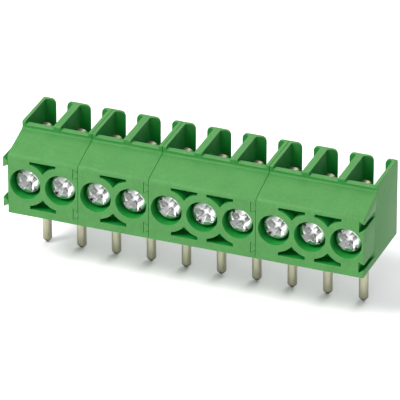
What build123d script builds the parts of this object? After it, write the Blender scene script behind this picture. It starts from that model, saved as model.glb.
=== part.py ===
from build123d import *
import os

# Row of poles
pole_pitch = 3.5
module_poles = (2, 2, 3, 3)

# Housing section, heights from the board and depths from the front face
housing_depth = 9.1
housing_height = 7.85
front_face_height = 6.1
slope_end_depth = 3.6
slope_end_height = 7.12
front_edge_radius = 0.5
step_foot_radius = 0.25
rim_edge_radius = 0.15
back_edge_radius = 0.35
seam_chamfer = 0.05

# Screw bores in the front face
bore_height = 3.25
bore_diameter = 3.05
bore_depth = 1.8
shank_clearance = 0.1

# Pockets between the bores of one module
pocket_ring_wall = 0.675
pocket_depth = 1.3
upper_pocket_top = 5.68
lower_pocket_floor = 0.75
pocket_half_width = 1.3

# Clamp chamber, open at the board
partition_thickness = 0.7
web_thickness = 0.8
back_wall = 0.8
chamber_height = 5.3

# Wire funnels and the pillars behind them
rim_thickness = 0.5
rim_height = 7.55
pillar_land = 0.2
pillar_run = 0.5
pillar_gap = 1.16
pillar_corner_radius = 0.7
back_slot_floor = 4.5

# Dovetails that join the modules
dovetail_heights = (1.05, 5.2)
rib_reach = 0.46
rib_neck = 0.46
rib_tip = 1.02
dovetail_straight = 1.9
dovetail_length = 3.0
dovetail_clearance = 0.05

# Clamping screw
head_diameter = 2.4
head_dome = 0.36
head_recess = 0.38
head_height = 1.38
shank_diameter = 1.95
shank_tip_gap = 0.08
cross_diameter = 2.0
cross_arm_width = 0.72
cross_depth = 0.85
cross_floor_diameter = 0.9
cross_floor_width = 0.3
slot_width = 0.26
slot_depth = 0.6
screw_turns = (48, 132, 135, 50, 40, 118, 53, 130, 47, 42)

# Contact: a flat current bar with the round solder pin in one piece
pin_setback = 5.1
pin_diameter = 0.9
pin_length = 5.3
pin_tip_length = 0.4
bar_thickness = 0.6
bar_width = 1.6
bar_top = 7.35
wing_width = 3.1
wing_floor = 0.25
wing_top = 1.3
wing_clearance = 0.03

# Clamping sleeve around the bar
sleeve_side_clearance = 0.1
sleeve_floor = 1.45
sleeve_top = 5.05
sleeve_side_wall = 0.3
sleeve_front_wall = 0.7
sleeve_back_wall = 0.4
sleeve_bar_gap = 0.15
sleeve_back_gap = 0.6
sleeve_corner_bevel = 0.2
thread_clearance = 0.05

# Derived values
pole_count = sum(module_poles)
front = -pin_setback
back = front + housing_depth
row_start = -pole_count * pole_pitch / 2
chamber_half_width = (pole_pitch - partition_thickness) / 2
chamber_front = front + bore_depth + web_thickness
chamber_back = back - back_wall
funnel_front = front + slope_end_depth + rim_thickness
pillar_full = back - pillar_land
pillar_start = pillar_full - pillar_run
ring_radius = bore_diameter / 2 + pocket_ring_wall
past = 1.0


def pole_centre(pole):
    """X of a pole, counted from the left end."""
    return row_start + (pole + 0.5) * pole_pitch


def block(x_span, y_span, z_span):
    """A box between two values on each axis."""
    size = [high - low for low, high in (x_span, y_span, z_span)]
    corner = (x_span[0], y_span[0], z_span[0])
    return Pos(*corner) * Box(*size, align=(Align.MIN, Align.MIN, Align.MIN))


def rod(diameter, start, end):
    """A round bar along Y, on the Y axis."""
    disc = Plane.XZ.offset(-start) * Circle(diameter / 2)
    return extrude(disc, -(end - start))


def polygon(points):
    """A flat face from its corners."""
    return make_face(Polyline(*points, close=True))


def housing_section():
    """The block's side view: front face, slope, step and flat top."""
    front_edge = (front, front_face_height)
    step_foot = (front + slope_end_depth, slope_end_height)
    rim_edge = (front + slope_end_depth, housing_height)
    back_edge = (back, housing_height)
    outline = [(front, 0), front_edge, step_foot, rim_edge, back_edge, (back, 0)]
    section = Sketch() + polygon(outline)
    rounded = (
        (front_edge, front_edge_radius),
        (step_foot, step_foot_radius),
        (rim_edge, rim_edge_radius),
        (back_edge, back_edge_radius),
    )
    for corner, radius in rounded:
        section = fillet(section.vertices().sort_by_distance(corner)[0], radius)
    return section


def screw_bore(x):
    """The counterbore for the head and the hole for the shank."""
    counterbore = rod(bore_diameter, front - past, front + bore_depth)
    shank_hole = rod(shank_diameter + 2 * shank_clearance, front, chamber_front + past)
    return Pos(x, 0, bore_height) * (counterbore + shank_hole)


def front_pocket(x, flat_edge, tip_side):
    """A curved triangle between two bores, its sides concentric with them."""
    half = pocket_half_width
    edges = sorted((flat_edge, bore_height + tip_side * bore_diameter / 4))
    face = Pos(0, sum(edges) / 2) * Rectangle(2 * half, edges[1] - edges[0])
    for side in (-1, 1):
        face -= Pos(side * pole_pitch / 2, bore_height) * Circle(ring_radius)
    face = face.faces().sort_by_distance((0, flat_edge, 0))[0]
    return Pos(x, 0, 0) * extrude(Plane.XZ.offset(-front) * face, -pocket_depth)


def funnel_plan():
    """The wire entry seen from above: straight sides, then the pillars close in."""
    wide = chamber_half_width
    gap = pillar_gap / 2
    right = [(wide, funnel_front), (wide, pillar_start), (gap, pillar_full), (gap, back + past)]
    return right + [(-x, y) for x, y in reversed(right)]


def pillar_rounding():
    """The rounded mouth of the gap behind a funnel, which takes the pillars' upper corners off."""
    radius = pillar_corner_radius
    reach = pillar_gap / 2 + radius
    floor = housing_height - radius
    mouth = Pos(0, floor) * Rectangle(2 * reach, radius + past, align=(Align.CENTER, Align.MIN))
    for side in (-1, 1):
        mouth -= Pos(side * reach, floor) * Circle(radius)
    return extrude(Plane.XZ.offset(-pillar_start) * mouth, -(back + past - pillar_start))


def rim_cut():
    """What lowers the rim in front of a funnel below the partitions, with a rounded front edge."""
    rim_front = front + slope_end_depth
    radius = rim_edge_radius
    edge = [(rim_front + radius, rim_height), (rim_front, rim_height - radius)]
    middle = (rim_front + radius * (1 - 0.5**0.5), rim_height - radius * (1 - 0.5**0.5))
    outer = [(rim_front, housing_height + past), (funnel_front + past, housing_height + past)]
    rest = Polyline(edge[1], *outer, (funnel_front + past, rim_height), edge[0])
    profile = make_face([*rest.edges(), ThreePointArc(edge[0], middle, edge[1])])
    return extrude(Plane.YZ.offset(-chamber_half_width) * profile, 2 * chamber_half_width)


def pole_cavity(x):
    """Chamber, wire funnel and back slot of one pole."""
    half = chamber_half_width
    chamber = block((-half, half), (chamber_front, chamber_back), (-past, chamber_height))
    funnel_height = housing_height + past - back_slot_floor
    funnel = extrude(Pos(0, 0, back_slot_floor) * polygon(funnel_plan()), funnel_height)
    solid_front = block((-half, half), (chamber_front, funnel_front), (chamber_height, housing_height))
    cavity = chamber + (funnel - solid_front) + pillar_rounding() + rim_cut()
    for side in (-1, 1):
        inner, outer = side * half, side * (wing_width / 2 + wing_clearance)
        grip = bar_thickness / 2 + wing_clearance
        cavity += block(sorted((inner, outer)), (-grip, grip), (-past, wing_top))
    return Pos(x, 0, 0) * cavity


def dovetail(x, height, clearance):
    """A dovetail that stands out towards -X and runs out to a wedge at its back end."""
    reach = rib_reach + clearance
    neck = rib_neck / 2 + clearance
    tip = rib_tip / 2 + clearance
    outline = [(0, -neck), (-reach, -tip), (-reach, tip), (0, neck)]
    prism = extrude(Plane.XZ.offset(-front) * polygon(outline), -dovetail_length)
    straight_end = front + dovetail_straight
    plan = [(0, front), (-reach, front), (-reach, straight_end), (0, front + dovetail_length)]
    wedge = extrude(Pos(0, 0, -tip) * polygon(plan), 2 * tip)
    return Pos(x, 0, height) * (prism & wedge)


def housing(first_pole, poles):
    """One moulded module of two or three poles."""
    left = row_start + first_pole * pole_pitch
    right = left + poles * pole_pitch
    body = extrude(Plane.YZ.offset(left) * housing_section(), right - left)
    end_edges = body.faces().filter_by(Axis.X).edges()
    body = chamfer(end_edges, seam_chamfer)
    for pole in range(first_pole, first_pole + poles):
        body -= pole_cavity(pole_centre(pole))
        body -= screw_bore(pole_centre(pole))
    for boundary in range(1, poles):
        x = left + boundary * pole_pitch
        body -= front_pocket(x, upper_pocket_top, 1)
        body -= front_pocket(x, lower_pocket_floor, -1)
    for height in dovetail_heights:
        body -= dovetail(right, height, dovetail_clearance)
        body += dovetail(left, height, 0)
    return body


def clamp_screw(turn):
    """Domed head with a cross recess and a slot, and a plain shank, at the origin in X."""
    dome_top = front + head_recess
    rim = dome_top + head_dome
    seat = dome_top + head_height
    tip = -bar_thickness / 2 - shank_tip_gap
    radius = head_diameter / 2
    shank = shank_diameter / 2
    profile = Polyline((radius, rim), (radius, seat), (shank, seat), (shank, tip), (0, tip), (0, dome_top))
    sphere_radius = (radius**2 + head_dome**2) / (2 * head_dome)
    halfway_drop = sphere_radius - (sphere_radius**2 - (radius / 2) ** 2) ** 0.5
    dome = ThreePointArc((0, dome_top), (radius / 2, dome_top + halfway_drop), (radius, rim))
    screw = revolve(make_face([*profile.edges(), dome]), Axis.Y, 360)
    recess = cross_recess(dome_top, rim) + slot_cut(dome_top)
    return Rot(0, turn, 0) * (screw - recess)


def cross_face(reach, width, y):
    """A cross that faces along Y."""
    cross = Rectangle(2 * reach, width) + Rectangle(width, 2 * reach)
    return (Plane.XZ.offset(-y) * cross).face()


def cross_recess(dome_top, rim):
    """Four arms, straight through the dome and then tapering to a small flat floor."""
    mouth = cross_face(cross_diameter / 2, cross_arm_width, rim)
    floor = cross_face(cross_floor_diameter / 2, cross_floor_width, dome_top + cross_depth)
    straight = extrude(mouth, past + head_dome)
    return straight + loft([mouth, floor], ruled=True)


def slot_cut(dome_top):
    """The straight slot across the whole head, along X."""
    radius = head_diameter
    half = slot_width / 2
    return block((-radius, radius), (dome_top - past, dome_top + slot_depth), (-half, half))


def contact():
    """Current bar with wings, a rounded top and the solder pin."""
    half = bar_width / 2
    arch_centre = bar_top - half
    face = Pos(0, (wing_top + arch_centre) / 2) * Rectangle(bar_width, arch_centre - wing_top)
    face += Pos(0, arch_centre) * Circle(half)
    face += Pos(0, (wing_floor + wing_top) / 2) * Rectangle(wing_width, wing_top - wing_floor)
    bar = extrude(Plane.XZ.offset(-bar_thickness / 2) * face, bar_thickness)
    radius = pin_diameter / 2
    tip = -pin_length
    outline = [(0, tip), (radius, tip + pin_tip_length), (radius, wing_floor), (0, wing_floor)]
    pin = revolve(Plane.XZ * polygon(outline), Axis.Z, 360)
    return bar + pin


def clamp_sleeve():
    """A folded sleeve open at top and bottom, threaded in its thick front wall."""
    half = chamber_half_width - sleeve_side_clearance
    sleeve_front = -bar_thickness / 2 - sleeve_bar_gap - sleeve_front_wall
    sleeve_back = chamber_back - sleeve_back_gap
    height = sleeve_top - sleeve_floor
    outer = Rectangle(2 * half, sleeve_back - sleeve_front)
    outer = chamfer(outer.vertices(), sleeve_corner_bevel)
    outer = Pos(0, (sleeve_front + sleeve_back) / 2) * outer
    inner_front = sleeve_front + sleeve_front_wall
    inner_back = sleeve_back - sleeve_back_wall
    inner = Pos(0, (inner_front + inner_back) / 2) * Rectangle(
        2 * (half - sleeve_side_wall), inner_back - inner_front)
    sleeve = extrude(Pos(0, 0, sleeve_floor) * (outer - inner), height)
    thread = rod(shank_diameter + 2 * thread_clearance, sleeve_front - past, inner_front + past / 2)
    return sleeve - Pos(0, 0, bore_height) * thread


os.makedirs("parts", exist_ok=True)

first = 0
for number, poles in enumerate(module_poles, start=1):
    export_step(housing(first, poles), f"parts/housing_{number}.step")
    first += poles

contact_shape = contact()
sleeve_shape = clamp_sleeve()
for pole in range(pole_count):
    x = pole_centre(pole)
    screw = Pos(x, 0, bore_height) * clamp_screw(screw_turns[pole])
    export_step(screw, f"parts/clamp_screw_{pole + 1:02d}.step")
    export_step(Pos(x, 0, 0) * sleeve_shape, f"parts/clamp_sleeve_{pole + 1:02d}.step")
    export_step(Pos(x, 0, 0) * contact_shape, f"parts/contact_pin_{pole + 1:02d}.step")
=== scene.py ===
import logging
import math
from dataclasses import dataclass
from enum import Enum
from typing import Sequence

import bmesh
import bpy
from mathutils import Matrix, Vector


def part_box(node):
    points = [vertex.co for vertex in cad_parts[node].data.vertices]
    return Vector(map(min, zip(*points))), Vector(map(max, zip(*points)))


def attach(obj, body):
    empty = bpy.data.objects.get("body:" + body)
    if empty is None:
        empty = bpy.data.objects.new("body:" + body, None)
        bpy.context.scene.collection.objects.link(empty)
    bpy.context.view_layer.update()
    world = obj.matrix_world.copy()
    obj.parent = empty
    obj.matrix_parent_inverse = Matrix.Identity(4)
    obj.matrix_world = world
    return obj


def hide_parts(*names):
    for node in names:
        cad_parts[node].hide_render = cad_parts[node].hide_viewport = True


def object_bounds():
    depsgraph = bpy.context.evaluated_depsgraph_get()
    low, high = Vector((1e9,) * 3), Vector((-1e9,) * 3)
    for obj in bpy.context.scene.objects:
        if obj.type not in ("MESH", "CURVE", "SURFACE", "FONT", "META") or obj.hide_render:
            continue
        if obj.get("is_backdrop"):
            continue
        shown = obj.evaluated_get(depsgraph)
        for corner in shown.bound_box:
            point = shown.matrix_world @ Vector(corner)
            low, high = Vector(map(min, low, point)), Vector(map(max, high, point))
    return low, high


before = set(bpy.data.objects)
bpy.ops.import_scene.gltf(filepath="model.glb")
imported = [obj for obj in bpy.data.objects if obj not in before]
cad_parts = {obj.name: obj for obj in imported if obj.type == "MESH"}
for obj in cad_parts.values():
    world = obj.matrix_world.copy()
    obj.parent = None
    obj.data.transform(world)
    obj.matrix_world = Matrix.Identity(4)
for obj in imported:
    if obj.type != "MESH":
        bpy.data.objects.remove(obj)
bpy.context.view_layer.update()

MM = 0.001
SAME_POINT = 0.0005
log = logging.getLogger("screw_terminal")


class Slot(Enum):
    """The record's material slots, one for each finish of the object."""

    HOUSING = "housing_plastic"
    SCREW = "zinc_plated_screw"
    SLEEVE = "plated_sleeve"
    CONTACT = "tinned_contact"


class Shading(Enum):
    """How a mesh is shaded: the angle over which an edge stays sharp, in degrees."""

    SMOOTH = 180
    CREASED = 35


Colour = tuple[float, float, float]
Point2 = tuple[float, float]


def srgb(red: int, green: int, blue: int) -> Colour:
    """Linear colour of a display colour.

    Args:
        red: Red from 0 to 255.
        green: Green from 0 to 255.
        blue: Blue from 0 to 255.

    Returns:
        The three linear values.
    """
    def linear(value: float) -> float:
        return value / 12.92 if value <= 0.04045 else ((value + 0.055) / 1.055) ** 2.4

    return linear(red / 255), linear(green / 255), linear(blue / 255)


def shade(colour: Colour, factor: float) -> Colour:
    """The colour made lighter or darker by a factor."""
    return tuple(min(1.0, channel * factor) for channel in colour)


class NodeTree:
    """A shader node tree with short calls for adding and joining nodes."""

    def __init__(self, tree: bpy.types.NodeTree) -> None:
        """Wraps a tree."""
        self.tree = tree

    def node(self, kind: str, inputs: dict | None = None, **settings: object) -> bpy.types.Node:
        """Adds a node.

        Args:
            kind: Blender's name of the node type, without the leading "ShaderNode".
            inputs: Value or output socket for each named input.
            **settings: Properties of the node.

        Returns:
            The node.
        """
        made = self.tree.nodes.new(kind if kind.startswith("Node") else "ShaderNode" + kind)
        for key, value in settings.items():
            setattr(made, key, value)
        for name, value in (inputs or {}).items():
            self.feed(made.inputs[name], value)
        return made

    def feed(self, socket: bpy.types.NodeSocket, value: object) -> None:
        """Joins an output to a socket, or sets the socket's own value."""
        if isinstance(value, bpy.types.NodeSocket):
            self.tree.links.new(value, socket)
        elif isinstance(value, tuple) and socket.type == "RGBA":
            socket.default_value = (*value, 1.0)
        else:
            socket.default_value = value

    def math(self, operation: str, *values: object, clamp: bool = False) -> bpy.types.NodeSocket:
        """Output of a Math node.

        Args:
            operation: The operation's name.
            *values: Numbers or sockets, in the node's order.
            clamp: Keeps the result between 0 and 1.

        Returns:
            The result's socket.
        """
        return self.node("Math", dict(enumerate(values)), operation=operation, use_clamp=clamp).outputs[0]

    def mix(self, factor: object, first: object, second: object) -> bpy.types.NodeSocket:
        """Colour mixed from two by a factor."""
        made = self.node("Mix", {"Factor": factor}, data_type="RGBA")
        self.feed(made.inputs[6], first)
        self.feed(made.inputs[7], second)
        return made.outputs[2]

    def tint(self, base: object, mask: object, share: float, colour: Colour) -> bpy.types.NodeSocket:
        """Base colour tinted where a mask shows.

        Args:
            base: The colour before.
            mask: The mask's socket.
            share: How strong the tint is at full mask.
            colour: The tint.

        Returns:
            The tinted colour's socket.
        """
        return self.mix(self.math("MULTIPLY", mask, share), base, colour)

    def ramp(self, value: object, low: float, high: float, to: Point2 = (0.0, 1.0)) -> bpy.types.NodeSocket:
        """Value carried from one range to another and kept inside it.

        Args:
            value: The socket to read.
            low: Where the first range starts.
            high: Where it ends.
            to: The range that comes out.

        Returns:
            The result's socket.
        """
        inputs = {"Value": value, "From Min": low, "From Max": high, "To Min": to[0], "To Max": to[1]}
        return self.node("MapRange", inputs, interpolation_type="SMOOTHSTEP").outputs["Result"]

    def noise(self, place: object, scale: object, detail: float = 2.0,
              rough: float = 0.5) -> bpy.types.NodeSocket:
        """Value of a noise texture.

        Args:
            place: The coordinates, in millimetres.
            scale: Cells to the millimetre.
            detail: Octaves.
            rough: How strong the fine octaves are.

        Returns:
            The noise value's socket.
        """
        inputs = {"Vector": place, "Scale": scale, "Detail": detail, "Roughness": rough}
        return self.node("TexNoise", inputs).outputs[0]


class EffectGroup:
    """A shader node group that several finishes share, with named inputs and outputs."""

    def __init__(self, name: str, inputs: dict[str, float], outputs: dict[str, str]) -> None:
        """Makes an empty group.

        Args:
            name: The group's name.
            inputs: Default value of each float input.
            outputs: Socket type of each output.
        """
        self.group = bpy.data.node_groups.new(name, "ShaderNodeTree")
        for key, default in inputs.items():
            socket = self.group.interface.new_socket(name=key, in_out="INPUT", socket_type="NodeSocketFloat")
            socket.default_value = default
        for key, kind in outputs.items():
            self.group.interface.new_socket(name=key, in_out="OUTPUT", socket_type=kind)
        self.nodes = NodeTree(self.group)
        self.entry = self.nodes.node("NodeGroupInput").outputs
        self.exit = self.nodes.node("NodeGroupOutput").inputs

    def place_mm(self) -> bpy.types.NodeSocket:
        """The piece's own coordinates in millimetres."""
        place = self.nodes.node("TexCoord").outputs["Object"]
        scaled = self.nodes.node("VectorMath", {0: place, "Scale": 1 / MM}, operation="SCALE")
        return scaled.outputs["Vector"]

    def put_out(self, name: str, value: bpy.types.NodeSocket) -> None:
        """Joins a value to one of the group's outputs."""
        self.nodes.feed(self.exit[name], value)


class SharedEffects:
    """The effects that more than one finish uses, each built once."""

    def __init__(self) -> None:
        """Builds the groups."""
        self.grain = self.build_grain()
        self.mottle = self.build_mottle()
        self.edges = self.build_edges()
        self.crevices = self.build_crevices()
        self.scratches = self.build_scratches()
        self.upper = self.build_upper_shade()

    def build_grain(self) -> bpy.types.NodeTree:
        """Fine texture of a moulded or plated surface: a height and a speckle."""
        effect = EffectGroup("fine_grain", {"Cells": 20.0, "Coarse": 0.35},
                             {"Height": "NodeSocketFloat", "Speckle": "NodeSocketFloat"})
        nodes, place = effect.nodes, effect.place_mm()
        fine = nodes.noise(place, effect.entry["Cells"], 3.0, 0.6)
        wide = nodes.noise(place, nodes.math("MULTIPLY", effect.entry["Cells"], 0.22), 2.0)
        height = nodes.math("ADD", fine, nodes.math("MULTIPLY", wide, effect.entry["Coarse"]))
        effect.put_out("Height", height)
        effect.put_out("Speckle", nodes.ramp(fine, 0.55, 0.75))
        return effect.group

    def build_mottle(self) -> bpy.types.NodeTree:
        """Slow variation of tone over a piece, different from piece to piece."""
        effect = EffectGroup("tone_mottle", {"Cells": 0.6, "Low": 0.35, "High": 0.65},
                             {"Tone": "NodeSocketFloat"})
        nodes = effect.nodes
        chance = nodes.node("ObjectInfo").outputs["Random"]
        shift = nodes.math("MULTIPLY", chance, 40.0)
        place = nodes.node("VectorMath", {0: effect.place_mm(), 1: shift}, operation="ADD").outputs["Vector"]
        tone = nodes.noise(place, effect.entry["Cells"], 3.0, 0.55)
        made = nodes.node("MapRange", {"Value": tone, "From Min": effect.entry["Low"],
                                       "From Max": effect.entry["High"]})
        effect.put_out("Tone", made.outputs["Result"])
        return effect.group

    def build_edges(self) -> bpy.types.NodeTree:
        """Mask of the outer, open edges: partly where handling has rubbed the surface, partly painted
        highlight where edges catch the light.
        """
        effect = EffectGroup("edge_wear", {"Radius": 0.08, "Breaks": 4.0}, {"Mask": "NodeSocketFloat"})
        nodes = effect.nodes
        radius = nodes.math("MULTIPLY", effect.entry["Radius"], MM)
        soft = nodes.node("Bevel", {"Radius": radius}, samples=6).outputs["Normal"]
        true = nodes.node("NewGeometry").outputs["Normal"]
        same = nodes.node("VectorMath", {0: soft, 1: true}, operation="DOT_PRODUCT").outputs["Value"]
        turned = nodes.math("SUBTRACT", 1.0, same)
        reach = nodes.math("MULTIPLY", radius, 3.0)
        open_sky = nodes.node("AmbientOcclusion", {"Distance": reach}, samples=4).outputs["AO"]
        mask = nodes.math("MULTIPLY", nodes.ramp(turned, 0.01, 0.22), nodes.ramp(open_sky, 0.7, 0.95))
        broken = nodes.ramp(nodes.noise(effect.place_mm(), effect.entry["Breaks"], 4.0, 0.6), 0.35, 0.6)
        effect.put_out("Mask", nodes.math("MULTIPLY", mask, broken, clamp=True))
        return effect.group

    def build_crevices(self) -> bpy.types.NodeTree:
        """Mask of the corners and recesses, from ambient occlusion: painted shade there, and on the metals
        tarnished hollows too.
        """
        effect = EffectGroup("crevice_grime", {"Reach": 0.4, "Breaks": 2.0}, {"Mask": "NodeSocketFloat"})
        nodes = effect.nodes
        reach = nodes.math("MULTIPLY", effect.entry["Reach"], MM)
        open_sky = nodes.node("AmbientOcclusion", {"Distance": reach}, samples=6).outputs["AO"]
        mask = nodes.ramp(open_sky, 0.95, 0.35)
        patches = nodes.noise(effect.place_mm(), effect.entry["Breaks"], 3.0)
        broken = nodes.ramp(patches, 0.25, 0.6, (0.5, 1.0))
        effect.put_out("Mask", nodes.math("MULTIPLY", mask, broken, clamp=True))
        return effect.group

    def build_scratches(self) -> bpy.types.NodeTree:
        """Fine rubbed lines along the piece's height: a mask and a height."""
        effect = EffectGroup("rubbed_lines", {"Cells": 14.0, "Stretch": 0.05},
                             {"Mask": "NodeSocketFloat", "Height": "NodeSocketFloat"})
        nodes = effect.nodes
        stretch = nodes.node("CombineXYZ", {"X": 1.0, "Y": 1.0, "Z": effect.entry["Stretch"]})
        place = nodes.node("VectorMath", {0: effect.place_mm(), 1: stretch.outputs[0]}, operation="MULTIPLY")
        lines = nodes.noise(place.outputs["Vector"], effect.entry["Cells"], 4.0, 0.65)
        effect.put_out("Mask", nodes.ramp(lines, 0.52, 0.66))
        effect.put_out("Height", lines)
        return effect.group

    def build_upper_shade(self) -> bpy.types.NodeTree:
        """Mask that grows from a low to a high place on the piece, in millimetres, for painted shade on its
        higher parts.
        """
        effect = EffectGroup("upper_part", {"Low": 0.0, "High": 5.0}, {"Mask": "NodeSocketFloat"})
        nodes = effect.nodes
        height = nodes.node("SeparateXYZ", {"Vector": effect.place_mm()}).outputs["Z"]
        patch = nodes.noise(effect.place_mm(), 1.5, 3.0)
        height = nodes.math("MULTIPLY_ADD", patch, 1.5, height)
        effect.put_out("Mask", nodes.ramp(height, effect.entry["Low"], effect.entry["High"]))
        return effect.group


@dataclass(frozen=True)
class Finish:
    """A surface finish: its colour, gloss and how strongly each effect shows."""

    name: str
    colour: Colour
    roughness: float
    grain_cells: float = 20.0
    grain_depth: float = 0.0015
    mottle_cells: float = 0.6
    specular: float = 0.15

    def start(self) -> tuple[bpy.types.Material, NodeTree, bpy.types.Node]:
        """Makes the material with its shader.

        Returns:
            The material, its nodes and its Principled BSDF.
        """
        material = bpy.data.materials.new(self.name)
        material.use_nodes = True
        nodes = NodeTree(material.node_tree)
        return material, nodes, material.node_tree.nodes["Principled BSDF"]

    @staticmethod
    def effect(nodes: NodeTree, group: bpy.types.NodeTree,
               **values: float) -> dict[str, bpy.types.NodeSocket]:
        """Places a shared effect with its own values.

        Args:
            nodes: The material's nodes.
            group: The effect.
            **values: Value of each input, by name.

        Returns:
            The group's outputs by name.
        """
        made = nodes.node("Group", node_tree=group)
        for key, value in values.items():
            made.inputs[key].default_value = value
        return {socket.name: socket for socket in made.outputs}


@dataclass(frozen=True)
class MouldedPlastic(Finish):
    """Satin green polyamide as it leaves the mould, with paler edges that are partly rubbed wear and partly
    painted highlight.
    """

    # Painted shade: the next colour is the darker green painted into corners, seams and recesses.
    crevice_shade_colour: Colour = srgb(12, 78, 28)
    # Painted shade: the next colour is the saturated dark green painted far inside the funnels and pockets.
    inner: Colour = srgb(8, 120, 40)
    # The pale colour lightens flow marks; on the edges it is partly rubbed wear and partly painted highlight.
    pale: Colour = srgb(112, 176, 104)
    edge_reach: float = 0.12
    edge_share: float = 0.25
    # Painted shade in corners and seams: its reach and strength.
    crevice_reach: float = 0.6
    crevice_shade_share: float = 0.25
    # Painted shade far inside the funnels and pockets: its reach and strength; the dulling after them is
    # roughness there.
    inside_shade_reach: float = 3.8
    inside_shade_gain: float = 1.6
    inside_dulling: float = 0.3
    flow_share: float = 0.1
    speckle_share: float = 0.1
    scatter: float = 0.12
    scatter_depth: float = 0.35
    scatter_colour: Colour = (0.3, 1.0, 0.35)

    def build(self, effects: SharedEffects) -> bpy.types.Material:
        """Builds the material.

        Args:
            effects: The shared effects.

        Returns:
            The material.
        """
        material, nodes, shader = self.start()
        tone = self.effect(nodes, effects.mottle, Cells=self.mottle_cells, Low=0.3, High=0.7)["Tone"]
        flow = self.effect(nodes, effects.mottle, Cells=3.5, Low=0.4, High=0.8)["Tone"]
        grain = self.effect(nodes, effects.grain, Cells=self.grain_cells, Coarse=0.5)
        edge = self.effect(nodes, effects.edges, Radius=self.edge_reach, Breaks=2.5)["Mask"]
        # Ambient-occlusion masks for painted shade: a short reach for corners and seams, a long reach for far
        # inside the funnels.
        crevice_darkening = self.effect(nodes, effects.crevices, Reach=self.crevice_reach, Breaks=1.2)["Mask"]
        inside = self.effect(nodes, effects.crevices, Reach=self.inside_shade_reach, Breaks=0.5)["Mask"]
        base = nodes.mix(tone, shade(self.colour, 0.94), shade(self.colour, 1.05))
        base = nodes.tint(base, flow, self.flow_share, self.pale)
        base = nodes.tint(base, grain["Speckle"], self.speckle_share, shade(self.colour, 0.85))
        # Painted shade: far inside the funnels and pockets the green turns saturated and dark.
        base = nodes.tint(base, inside, self.inside_shade_gain, self.inner)
        # Painted shade: corners, seams and recesses turn a darker green.
        base = nodes.tint(base, crevice_darkening, self.crevice_shade_share, self.crevice_shade_colour)
        # Paler edges: partly rubbed wear, partly painted highlight.
        base = nodes.tint(base, edge, self.edge_share, self.pale)
        nodes.feed(shader.inputs["Base Color"], base)
        gloss = nodes.math("MULTIPLY_ADD", tone, 0.08, self.roughness)
        gloss = nodes.math("SUBTRACT", gloss, nodes.math("MULTIPLY", edge, 0.05))
        gloss = nodes.math("MULTIPLY_ADD", inside, self.inside_dulling, gloss)
        nodes.feed(shader.inputs["Roughness"], gloss)
        relief = {"Height": grain["Height"], "Strength": 0.5, "Distance": self.grain_depth * MM}
        bump = nodes.node("Bump", relief)
        nodes.feed(shader.inputs["Normal"], bump.outputs["Normal"])
        shader.inputs["Subsurface Weight"].default_value = self.scatter
        shader.inputs["Subsurface Radius"].default_value = self.scatter_colour
        shader.inputs["Subsurface Scale"].default_value = self.scatter_depth * MM
        shader.inputs["Specular IOR Level"].default_value = self.specular
        return material


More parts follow.
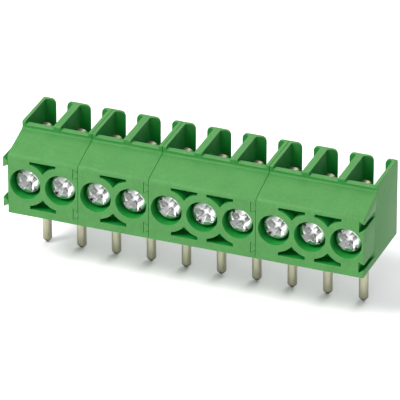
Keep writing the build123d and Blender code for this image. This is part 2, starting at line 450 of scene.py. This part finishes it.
@dataclass(frozen=True)
class PlatedMetal(Finish):
    """A plated metal surface with tarnished hollows and painted shade in its recesses, painted shade far
    inside and, where asked, towards its top, and brighter edges that are partly rubbed wear and partly
    painted highlight.
    """

    # Dark colour for tarnished hollows and for painted shade; its share in corners and recesses.
    shade_and_tarnish: Colour = srgb(84, 82, 76)
    shade_and_tarnish_share: float = 0.8
    # Painted shade far inside the housing and under it: its share.
    depth_shade_share: float = 0.0
    # Painted shade that grows with height over a piece: its share, and where it starts and ends.
    upper_shade_share: float = 0.0
    upper_shade_span: Point2 = (1.0, 6.0)
    lines: float = 0.0
    edge_reach: float = 0.06
    edge_share: float = 0.5
    crevice_reach: float = 0.35
    inside_shade_reach: float = 2.6
    wobble: float = 0.004

    def build(self, effects: SharedEffects) -> bpy.types.Material:
        """Builds the material.

        Args:
            effects: The shared effects.

        Returns:
            The material.
        """
        material, nodes, shader = self.start()
        tone = self.effect(nodes, effects.mottle, Cells=self.mottle_cells, Low=0.3, High=0.7)["Tone"]
        grain = self.effect(nodes, effects.grain, Cells=self.grain_cells, Coarse=0.6)
        edge = self.effect(nodes, effects.edges, Radius=self.edge_reach, Breaks=5.0)["Mask"]
        crevice_darkening = self.effect(nodes, effects.crevices, Reach=self.crevice_reach, Breaks=3.0)["Mask"]
        inside = self.effect(nodes, effects.crevices, Reach=self.inside_shade_reach, Breaks=0.5)["Mask"]
        rubbed = self.effect(nodes, effects.scratches, Cells=16.0, Stretch=0.06)
        wave = self.effect(nodes, effects.mottle, Cells=5.0, Low=0.0, High=1.0)["Tone"]
        upper = self.effect(nodes, effects.upper, Low=self.upper_shade_span[0], High=self.upper_shade_span[1])["Mask"]
        base = nodes.mix(tone, shade(self.colour, 0.88), self.colour)
        base = nodes.tint(base, rubbed["Mask"], self.lines, shade(self.colour, 0.7))
        # Painted shade where a piece sits far inside or under the housing.
        base = nodes.tint(base, inside, self.depth_shade_share, shade(self.shade_and_tarnish, 0.6))
        # Painted shade growing towards the top of the piece, over the contacts' bar tops within the funnels.
        base = nodes.tint(base, upper, self.upper_shade_share, shade(self.shade_and_tarnish, 0.7))
        # Corners and recesses: tarnished hollows and painted shade, both in this dark colour.
        base = nodes.tint(base, crevice_darkening, self.shade_and_tarnish_share, self.shade_and_tarnish)
        # Brighter edges: partly rubbed wear, partly painted highlight.
        base = nodes.tint(base, edge, self.edge_share, shade(self.colour, 1.15))
        nodes.feed(shader.inputs["Base Color"], base)
        shader.inputs["Metallic"].default_value = 1.0
        gloss = nodes.math("MULTIPLY_ADD", tone, 0.10, self.roughness)
        gloss = nodes.math("MULTIPLY_ADD", crevice_darkening, 0.15, gloss)
        nodes.feed(shader.inputs["Roughness"], gloss)
        height = nodes.math("MULTIPLY", grain["Height"], self.grain_depth)
        height = nodes.math("MULTIPLY_ADD", wave, self.wobble, height)
        height = nodes.math("MULTIPLY_ADD", rubbed["Height"], self.lines * self.grain_depth, height)
        bump = nodes.node("Bump", {"Height": height, "Strength": 1.0, "Distance": MM})
        nodes.feed(shader.inputs["Normal"], bump.outputs["Normal"])
        return material


@dataclass(frozen=True)
class FloorPaint(Finish):
    """Near-white matt studio floor."""

    def build(self, effects: SharedEffects) -> bpy.types.Material:
        """Builds the material.

        Args:
            effects: The shared effects.

        Returns:
            The material.
        """
        material, nodes, shader = self.start()
        tone = self.effect(nodes, effects.mottle, Cells=self.mottle_cells, Low=0.3, High=0.7)["Tone"]
        nodes.feed(shader.inputs["Base Color"], nodes.mix(tone, shade(self.colour, 0.985), self.colour))
        nodes.feed(shader.inputs["Roughness"], nodes.math("MULTIPLY_ADD", tone, 0.05, self.roughness))
        shader.inputs["Specular IOR Level"].default_value = self.specular
        return material


def add_object(name: str, mesh: bpy.types.Mesh, shading: Shading = Shading.CREASED) -> bpy.types.Object:
    """Puts a mesh into the scene.

    Args:
        name: The piece's name.
        mesh: Its mesh.
        shading: How its edges are shaded.

    Returns:
        The object.
    """
    mesh.shade_smooth()
    if shading is not Shading.SMOOTH:
        mesh.set_sharp_from_angle(angle=math.radians(shading.value))
    made = bpy.data.objects.new(name, mesh)
    bpy.context.scene.collection.objects.link(made)
    return made


def mesh_from(name: str, points: Sequence[Sequence[float]], faces: Sequence[Sequence[int]]) -> bpy.types.Mesh:
    """A mesh from points in millimetres, with its doubles merged and its faces turned outwards.

    Args:
        name: The mesh's name.
        points: The points.
        faces: The corners of each face.

    Returns:
        The mesh, in metres.
    """
    mesh = bpy.data.meshes.new(name)
    mesh.from_pydata([Vector(p) * MM for p in points], [], faces)
    shape = bmesh.new()
    shape.from_mesh(mesh)
    bmesh.ops.remove_doubles(shape, verts=shape.verts, dist=SAME_POINT * MM)
    bmesh.ops.recalc_face_normals(shape, faces=shape.faces)
    shape.to_mesh(mesh)
    shape.free()
    mesh.validate()
    return mesh


def rings_mesh(name: str, rings: list[list[Vector]]) -> bpy.types.Mesh:
    """Joins closed rings of points, each with as many as the one before or half of them, and caps both ends.

    Args:
        name: The mesh's name.
        rings: The rings in order, in millimetres.

    Returns:
        The mesh.
    """
    points = [point for ring in rings for point in ring]
    starts = [0]
    for ring in rings:
        starts.append(starts[-1] + len(ring))
    faces = [list(range(len(rings[0])))[::-1]]
    for index, (ring, other) in enumerate(zip(rings, rings[1:])):
        first, second, count = starts[index], starts[index + 1], len(ring)
        for k in range(count):
            here, there = first + k, first + (k + 1) % count
            if len(other) == count:
                faces.append([here, there, second + (k + 1) % count, second + k])
                continue
            near = second + k // 2
            faces.append([here, there, near])
            if k % 2:
                faces.append([there, second + (k // 2 + 1) % len(other), near])
    faces.append([starts[-2] + k for k in range(len(rings[-1]))])
    return mesh_from(name, points, faces)


def settle(piece: bpy.types.Object, body: str, material: bpy.types.Material, node: str) -> None:
    """Gives a piece its finish and its body, and lets it stand for its CAD node.

    Args:
        piece: The piece, already in place.
        body: The body that it rides on.
        material: The finish.
        node: The CAD node that it replaces.
    """
    piece.data.materials.clear()
    piece.data.materials.append(material)
    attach(piece, body)
    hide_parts(node)


def nodes_called(stem: str) -> list[str]:
    """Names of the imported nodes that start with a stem, in order."""
    return sorted(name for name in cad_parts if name.startswith(stem))


def circle(radius: float, count: int) -> list[Point2]:
    """Points round a circle about the axis."""
    turns = (2 * math.pi * k / count for k in range(count))
    return [(radius * math.cos(turn), radius * math.sin(turn)) for turn in turns]


def level_ring(radius: float, height: float, count: int) -> list[Vector]:
    """A level ring of points."""
    return [Vector((x, y, height)) for x, y in circle(radius, count)]


def round_edges(piece: bpy.types.Object, width: float, angle: float = 35.0) -> None:
    """Rounds a piece's sharp edges with a modifier.

    Args:
        piece: The piece.
        width: How far the rounding reaches, in millimetres.
        angle: Edges that turn less than this stay as they are, in degrees.
    """
    edge = piece.modifiers.new("edge_round", "BEVEL")
    edge.width = width * MM
    edge.segments = 2
    edge.limit_method = "ANGLE"
    edge.angle_limit = math.radians(angle)
    edge.harden_normals = True


@dataclass(frozen=True)
class Thread:
    """A helical thread about Z, sizes in millimetres."""

    crest: float = 0.975
    depth: float = 0.2
    pitch: float = 0.4
    steps: int = 8

    def rings(self, top: float, bottom: float, count: int) -> list[list[Vector]]:
        """Rings from the top to the bottom, with the thread running out at both ends.

        Args:
            top: Where the thread starts.
            bottom: Where it ends.
            count: Points in a ring.

        Returns:
            The rings.
        """
        root = self.crest - self.depth
        rings = []
        height = top
        while height > bottom:
            fade = min(1.0, (top - height) / self.pitch, (height - bottom) / self.pitch)
            ring = []
            for k, (x, y) in enumerate(circle(1.0, count)):
                phase = (height / self.pitch - k / count) % 1.0
                ridge = min(1.0, 1.15 * (1 - abs(2 * phase - 1)))
                radius = root + self.depth * fade * ridge
                ring.append(Vector((x * radius, y * radius, height)))
            rings.append(ring)
            height -= self.pitch / self.steps
        return rings


@dataclass
class Housings:
    """The moulded housing modules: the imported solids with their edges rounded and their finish."""

    material: bpy.types.Material
    weld_gap: float = 0.001
    flat_angle: float = 1.0
    edge_round: float = 0.03
    crease_angle: float = 28.0

    def dress(self, node: bpy.types.Object) -> None:
        """Rounds the edges of one module and gives it its plastic."""
        weld = node.modifiers.new("weld", "WELD")
        weld.merge_threshold = self.weld_gap * MM
        flat = node.modifiers.new("flat", "DECIMATE")
        flat.decimate_type = "DISSOLVE"
        flat.angle_limit = math.radians(self.flat_angle)
        round_edges(node, self.edge_round, angle=self.crease_angle)
        for slot in node.material_slots:
            slot.material = self.material

    def build(self) -> int:
        """Dresses every module and returns how many there are."""
        names = nodes_called("housing_")
        for name in names:
            self.dress(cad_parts[name])
        return len(names)


@dataclass
class ClampScrews:
    """The clamping screws: a domed head with a stamped cross and slot, and a threaded shank."""

    material: bpy.types.Material
    turns: tuple[int, ...] = (48, 132, 135, 50, 40, 118, 53, 130, 47, 42)
    head_radius: float = 1.2
    dome: float = 0.36
    rim_round: float = 0.07
    head_height: float = 1.38
    seat_round: float = 0.05
    arm_half: float = 0.36
    arm_reach: float = 1.0
    floor_half: float = 0.15
    floor_reach: float = 0.45
    cross_depth: float = 0.85
    slot_half: float = 0.13
    slot_depth: float = 0.6
    wall: float = 0.06
    thread: Thread = Thread()
    neck: float = 0.25
    run_in: float = 0.05
    length: float = 4.34
    segments: int = 192
    head_rings: int = 46

    def dome_height(self, radius: float) -> float:
        """Height of the dome over its top, at a distance from the axis."""
        ball = (self.head_radius**2 + self.dome**2) / (2 * self.dome)
        return math.sqrt(ball**2 - radius**2) - ball

    @staticmethod
    def step(value: float, low: float, high: float) -> float:
        """Smooth step from 0 to 1 between two values."""
        share = min(1.0, max(0.0, (value - low) / (high - low)))
        return share * share * (3 - 2 * share)

    def face_height(self, x: float, y: float) -> float:
        """Height of the stamped head over the dome's top.

        Args:
            x: Place along the slot.
            y: Place across the slot.

        Returns:
            The height, 0 or less.
        """
        dome = self.dome_height(math.hypot(x, y))
        height = dome
        for along, across in ((abs(x), abs(y)), (abs(y), abs(x))):
            side = self.arm_half - across
            end = self.arm_reach - along
            side_run = self.arm_half - self.floor_half
            end_run = self.arm_reach - self.floor_reach
            depth = min(side / side_run, end / end_run, 1.0)
            floor = -self.dome - max(0.0, depth) * (self.cross_depth - self.dome)
            inside = self.step(min(side, end), -self.wall / 3, self.wall)
            height = min(height, dome + inside * (min(floor, dome) - dome))
        inside = self.step(self.slot_half - abs(y), -self.wall / 3, self.wall * 0.8)
        return min(height, dome + inside * (min(-self.slot_depth, dome) - dome))

    def head(self) -> list[list[Vector]]:
        """Rings of the head from the middle of its face to its seat."""
        rings = []
        flat_radius = self.head_radius - self.rim_round
        for index in range(1, self.head_rings + 1):
            radius = flat_radius * index / self.head_rings
            ring = []
            for x, y in circle(radius, self.segments):
                ring.append(Vector((x, y, self.face_height(x, y))))
            rings.append(ring)
        edge = self.dome_height(flat_radius)
        for angle in (30, 60, 90):
            turn = math.radians(angle)
            radius = flat_radius + self.rim_round * math.sin(turn)
            height = edge - self.rim_round * (1 - math.cos(turn))
            rings.append(level_ring(radius, height, self.segments))
        for angle in (0, 45, 90):
            turn = math.radians(angle)
            radius = self.head_radius - self.seat_round * (1 - math.cos(turn))
            height = -self.head_height + self.seat_round * (1 - math.sin(turn))
            rings.append(level_ring(radius, height, self.segments))
        return rings

    def shank(self) -> list[list[Vector]]:
        """Rings of the threaded shank from the seat to the tip."""
        count = self.segments // 2
        seat, tip = -self.head_height, -self.length
        root = self.thread.crest - self.thread.depth
        rings = [level_ring(root + self.run_in, seat, count), level_ring(root, seat - self.neck / 2, count)]
        rings += self.thread.rings(seat - self.neck, tip + self.run_in, count)
        rings.append(level_ring(root - self.run_in, tip, count))
        return rings

    def build(self) -> int:
        """Places a screw in every pole and returns how many there are."""
        names = nodes_called("clamp_screw_")
        mesh = rings_mesh("screw", self.head() + self.shank())
        for name, turn in zip(names, self.turns):
            low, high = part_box(name)
            piece = add_object(name.replace("clamp_screw", "screw_turned"), mesh)
            middle = (low + high) / 2
            place = Matrix.Translation((middle.x, high.y - self.length * MM, middle.z))
            piece.matrix_world = (place @ Matrix.Rotation(math.radians(turn), 4, "Y")
                                  @ Matrix.Rotation(math.radians(90), 4, "X"))
            settle(piece, name.replace("clamp_", ""), self.material, name)
        return len(names)


@dataclass
class Contacts:
    """The contacts: a stamped current bar with wings and a rounded top, and the round solder pin."""

    material: bpy.types.Material
    thickness: float = 0.6
    bar_half: float = 0.8
    bar_top: float = 7.15
    wing_half: float = 1.55
    wing_floor: float = 0.25
    wing_top: float = 1.3
    edge_round: float = 0.06
    arch_steps: int = 24
    pin_segments: int = 64
    pin_profile: tuple[Point2, ...] = (
        (0.43, 0.3), (0.445, 0.05), (0.45, -0.1), (0.45, -1.6), (0.45, -3.3),
        (0.45, -4.8), (0.444, -4.88), (0.425, -4.94), (0.39, -4.99), (0.3, -5.09),
        (0.2, -5.19), (0.12, -5.255), (0.06, -5.288), (0.02, -5.3),
    )

    def outline(self) -> list[Point2]:
        """Corners of the bar's front view, from its lower right corner over the top to the lower left."""
        centre = self.bar_top - self.bar_half
        turns = (math.pi * k / self.arch_steps for k in range(self.arch_steps + 1))
        arch = [(self.bar_half * math.cos(turn), centre + self.bar_half * math.sin(turn)) for turn in turns]
        wing, top = self.wing_half, self.wing_top
        right = [(wing, self.wing_floor), (wing, top), (self.bar_half, top)]
        left = [(-x, z) for x, z in reversed(right)]
        return right + arch + left

    def bar(self) -> bpy.types.Mesh:
        """The flat bar's mesh."""
        outline, half = self.outline(), self.thickness / 2
        count = len(outline)
        points = [(x, -half, z) for x, z in outline] + [(x, half, z) for x, z in outline]
        faces = [list(range(count)), list(range(count, 2 * count))[::-1]]
        faces += [[k, count + k, count + (k + 1) % count, (k + 1) % count] for k in range(count)]
        return mesh_from("contact_bar", points, faces)

    def pin(self) -> bpy.types.Mesh:
        """The solder pin's mesh."""
        rings = [level_ring(radius, height, self.pin_segments) for radius, height in self.pin_profile]
        return rings_mesh("solder_pin", rings)

    def build(self) -> int:
        """Places a contact in every pole and returns how many there are."""
        names = nodes_called("contact_pin_")
        mesh = bpy.data.meshes.new("contact")
        shape = bmesh.new()
        for part in (self.bar(), self.pin()):
            shape.from_mesh(part)
        shape.to_mesh(mesh)
        shape.free()
        for name in names:
            low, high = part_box(name)
            piece = add_object(name.replace("contact_pin", "contact_stamped"), mesh)
            piece.location.x = (low.x + high.x) / 2
            round_edges(piece, self.edge_round)
            settle(piece, "block", self.material, name)
        return len(names)


@dataclass
class Sleeves:
    """The clamping sleeves: a thick strip folded round the bar, joined at the back, tapped in front."""

    material: bpy.types.Material
    half_width: float = 1.3
    front: float = -1.15
    back: float = 2.65
    floor: float = 1.45
    top: float = 5.05
    side_wall: float = 0.3
    front_wall: float = 0.7
    back_wall: float = 0.4
    fold_radius: float = 0.34
    inner_radius: float = 0.1
    joint_gap: float = 0.05
    corner_steps: int = 6
    tap_overrun: float = 0.15
    tap_segments: int = 64
    tap_height: float = 3.25
    tap: Thread = Thread(crest=1.11, depth=0.12)
    edge_round: float = 0.05

    def path(self, half: float, front: float, back: float, radius: float) -> list[Point2]:
        """Points round a rectangle with rounded corners, from the joint at the back round to the joint.

        Args:
            half: Half its width.
            front: Its front side.
            back: Its back side.
            radius: Its corners' radius.

        Returns:
            The points, open at the joint.
        """
        gap = self.joint_gap / 2
        points = [(gap, back)]
        corners = (
            (half - radius, back - radius, 90), (half - radius, front + radius, 0),
            (radius - half, front + radius, -90), (radius - half, back - radius, -180),
        )
        for x, y, start in corners:
            for k in range(self.corner_steps + 1):
                turn = math.radians(start - 90 * k / self.corner_steps)
                points.append((x + radius * math.cos(turn), y + radius * math.sin(turn)))
        return points + [(-gap, back)]

    def strip(self) -> bpy.types.Mesh:
        """The folded strip's mesh, before it is tapped."""
        outer = self.path(self.half_width, self.front, self.back, self.fold_radius)
        inner = self.path(self.half_width - self.side_wall, self.front + self.front_wall,
                          self.back - self.back_wall, self.inner_radius)
        count = len(outer)
        points = [(x, y, z) for z in (self.floor, self.top) for loop in (outer, inner) for x, y in loop]
        low_out, low_in, top_out, top_in = (count * k for k in range(4))
        faces = []
        for k in range(count - 1):
            for first, second in ((low_out, low_in), (top_out, top_in), (low_out, top_out), (low_in, top_in)):
                faces.append([first + k, first + k + 1, second + k + 1, second + k])
        for k in (0, count - 1):
            faces.append([low_out + k, low_in + k, top_in + k, top_out + k])
        return mesh_from("sleeve_strip", points, faces)

    def tapped(self) -> bpy.types.Mesh:
        """The strip's mesh with the tapped hole cut through its front wall."""
        strip = add_object("sleeve_strip", self.strip())
        reach = self.front_wall / 2 + self.tap_overrun + self.tap.pitch
        rings = self.tap.rings(reach, -reach, self.tap_segments)
        tool = add_object("sleeve_tap", rings_mesh("sleeve_tap", rings))
        middle = Vector((0, self.front + self.front_wall / 2, self.tap_height)) * MM
        tool.matrix_world = Matrix.Translation(middle) @ Matrix.Rotation(math.radians(90), 4, "X")
        cut = strip.modifiers.new("tap", "BOOLEAN")
        cut.operation = "DIFFERENCE"
        cut.solver = "EXACT"
        cut.object = tool
        bpy.context.view_layer.update()
        made = bpy.data.meshes.new_from_object(strip.evaluated_get(bpy.context.evaluated_depsgraph_get()))
        made.name = "sleeve"
        for used in (strip, tool):
            bpy.data.objects.remove(used, do_unlink=True)
        return made

    def build(self) -> int:
        """Places a sleeve in every pole and returns how many there are."""
        names = nodes_called("clamp_sleeve_")
        mesh = self.tapped()
        for name in names:
            low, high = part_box(name)
            piece = add_object(name.replace("clamp_sleeve", "sleeve_folded"), mesh)
            piece.location.x = (low.x + high.x) / 2
            round_edges(piece, self.edge_round, angle=50)
            settle(piece, name.replace("clamp_", ""), self.material, name)
        return len(names)


@dataclass(frozen=True)
class StudioCamera:
    """The camera that stands where the photograph was taken."""

    azimuth: float = 21.19
    elevation: float = 28.32
    distance: float = 525.0
    field_width: float = 36.81
    sensor: float = 36.0
    near: float = 10.0
    far: float = 20000.0
    target: tuple[float, float, float] = (0.22, -1.6, 2.98)

    def build(self) -> None:
        """Makes the camera and gives it to the scene."""
        turn, rise = math.radians(self.azimuth), math.radians(self.elevation)
        away = Vector((math.sin(turn) * math.cos(rise), -math.cos(turn) * math.cos(rise), math.sin(rise)))
        data = bpy.data.cameras.new("photo_camera")
        data.sensor_width = self.sensor
        data.lens = self.sensor * self.distance / self.field_width
        data.clip_start, data.clip_end = self.near * MM, self.far * MM
        camera = bpy.data.objects.new("photo_camera", data)
        bpy.context.scene.collection.objects.link(camera)
        camera.location = (Vector(self.target) + away * self.distance) * MM
        camera.rotation_euler = (-away).to_track_quat("-Z", "Y").to_euler()
        bpy.context.scene.camera = camera


@dataclass(frozen=True)
class Lamp:
    """A round soft lamp that faces the part: its place and size in metres, its power in watts."""

    name: str
    colour: Colour
    place: tuple[float, float, float]
    size: float
    power: float

    def build(self) -> None:
        """Hangs the lamp."""
        data = bpy.data.lights.new(self.name, "AREA")
        data.shape, data.size = "DISK", self.size
        data.color, data.energy = self.colour, self.power
        lamp = bpy.data.objects.new(self.name, data)
        bpy.context.scene.collection.objects.link(lamp)
        lamp.location = self.place
        lamp.rotation_euler = (-Vector(self.place)).to_track_quat("-Z", "Y").to_euler()


@dataclass
class Studio:
    """A pale floor and soft light from above."""

    floor_material: bpy.types.Material
    floor_half: float = 3.0
    horizon_strength: float = 0.34
    zenith_strength: float = 0.66
    zenith_height: float = 0.8
    sky_colour: Colour = (0.98, 0.98, 1.0)
    lamps: tuple[Lamp, ...] = (
        Lamp("key", (1.0, 0.99, 0.97), (-0.20, -0.26, 0.42), 0.26, 3.35),
        Lamp("fill", (0.97, 0.98, 1.0), (0.08, -0.42, 0.20), 0.22, 0.4),
        Lamp("back", (1.0, 1.0, 1.0), (0.05, 0.35, 0.30), 0.25, 0.9),
    )

    def build(self) -> None:
        """Makes the floor, the world and the lamps."""
        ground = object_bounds()[0].z / MM
        half = self.floor_half / MM
        corners = [(-half, -half, ground), (half, -half, ground), (half, half, ground), (-half, half, ground)]
        floor = add_object("floor", mesh_from("floor", corners, [(0, 1, 2, 3)]), Shading.SMOOTH)
        floor.data.materials.append(self.floor_material)
        floor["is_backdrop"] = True
        world = bpy.data.worlds.new("studio")
        bpy.context.scene.world = world
        world.use_nodes = True
        nodes = NodeTree(world.node_tree)
        direction = nodes.node("TexCoord").outputs["Generated"]
        rise = nodes.node("SeparateXYZ", {"Vector": direction}).outputs["Z"]
        sky = world.node_tree.nodes["Background"].inputs
        nodes.feed(sky["Color"], self.sky_colour)
        strengths = (self.horizon_strength, self.zenith_strength)
        nodes.feed(sky["Strength"], nodes.ramp(rise, 0.0, self.zenith_height, strengths))
        for lamp in self.lamps:
            lamp.build()
        bpy.context.scene.view_settings.view_transform = "Standard"


def main() -> None:
    """Builds the dressed terminal, its studio and its camera."""
    logging.basicConfig(level=logging.INFO, format="%(name)s: %(message)s")
    effects = SharedEffects()
    plastic = MouldedPlastic("satin_polyamide", srgb(70, 125, 67), 0.46, grain_cells=14.0, grain_depth=0.004)
    # Painted shade on the metals: in recesses together with tarnished hollows, far inside the housing, and on
    # the tin towards its top.
    zinc = PlatedMetal("bright_zinc", (0.88, 0.89, 0.88), 0.26, grain_cells=12.0, shade_and_tarnish=srgb(66, 66, 64),
                       shade_and_tarnish_share=0.95, crevice_reach=0.5, wobble=0.002)
    nickel = PlatedMetal("dull_nickel", (0.52, 0.50, 0.46), 0.34, grain_cells=10.0, lines=0.4,
                         crevice_reach=0.8, depth_shade_share=0.8)
    tin = PlatedMetal("matt_tin", (0.48, 0.47, 0.34), 0.33, grain_cells=9.0, shade_and_tarnish=srgb(96, 93, 74),
                      shade_and_tarnish_share=0.7, depth_shade_share=0.9, upper_shade_share=0.85, lines=0.55, crevice_reach=0.8)
    log.info("housings: %d", Housings(plastic.build(effects)).build())
    log.info("screws: %d", ClampScrews(zinc.build(effects)).build())
    log.info("contacts: %d", Contacts(tin.build(effects)).build())
    log.info("sleeves: %d", Sleeves(nickel.build(effects)).build())
    studio = Studio(FloorPaint("studio_floor", (0.93, 0.93, 0.94), 0.7, mottle_cells=0.02).build(effects))
    studio.build()
    StudioCamera().build()


if __name__ == "__main__":
    main()
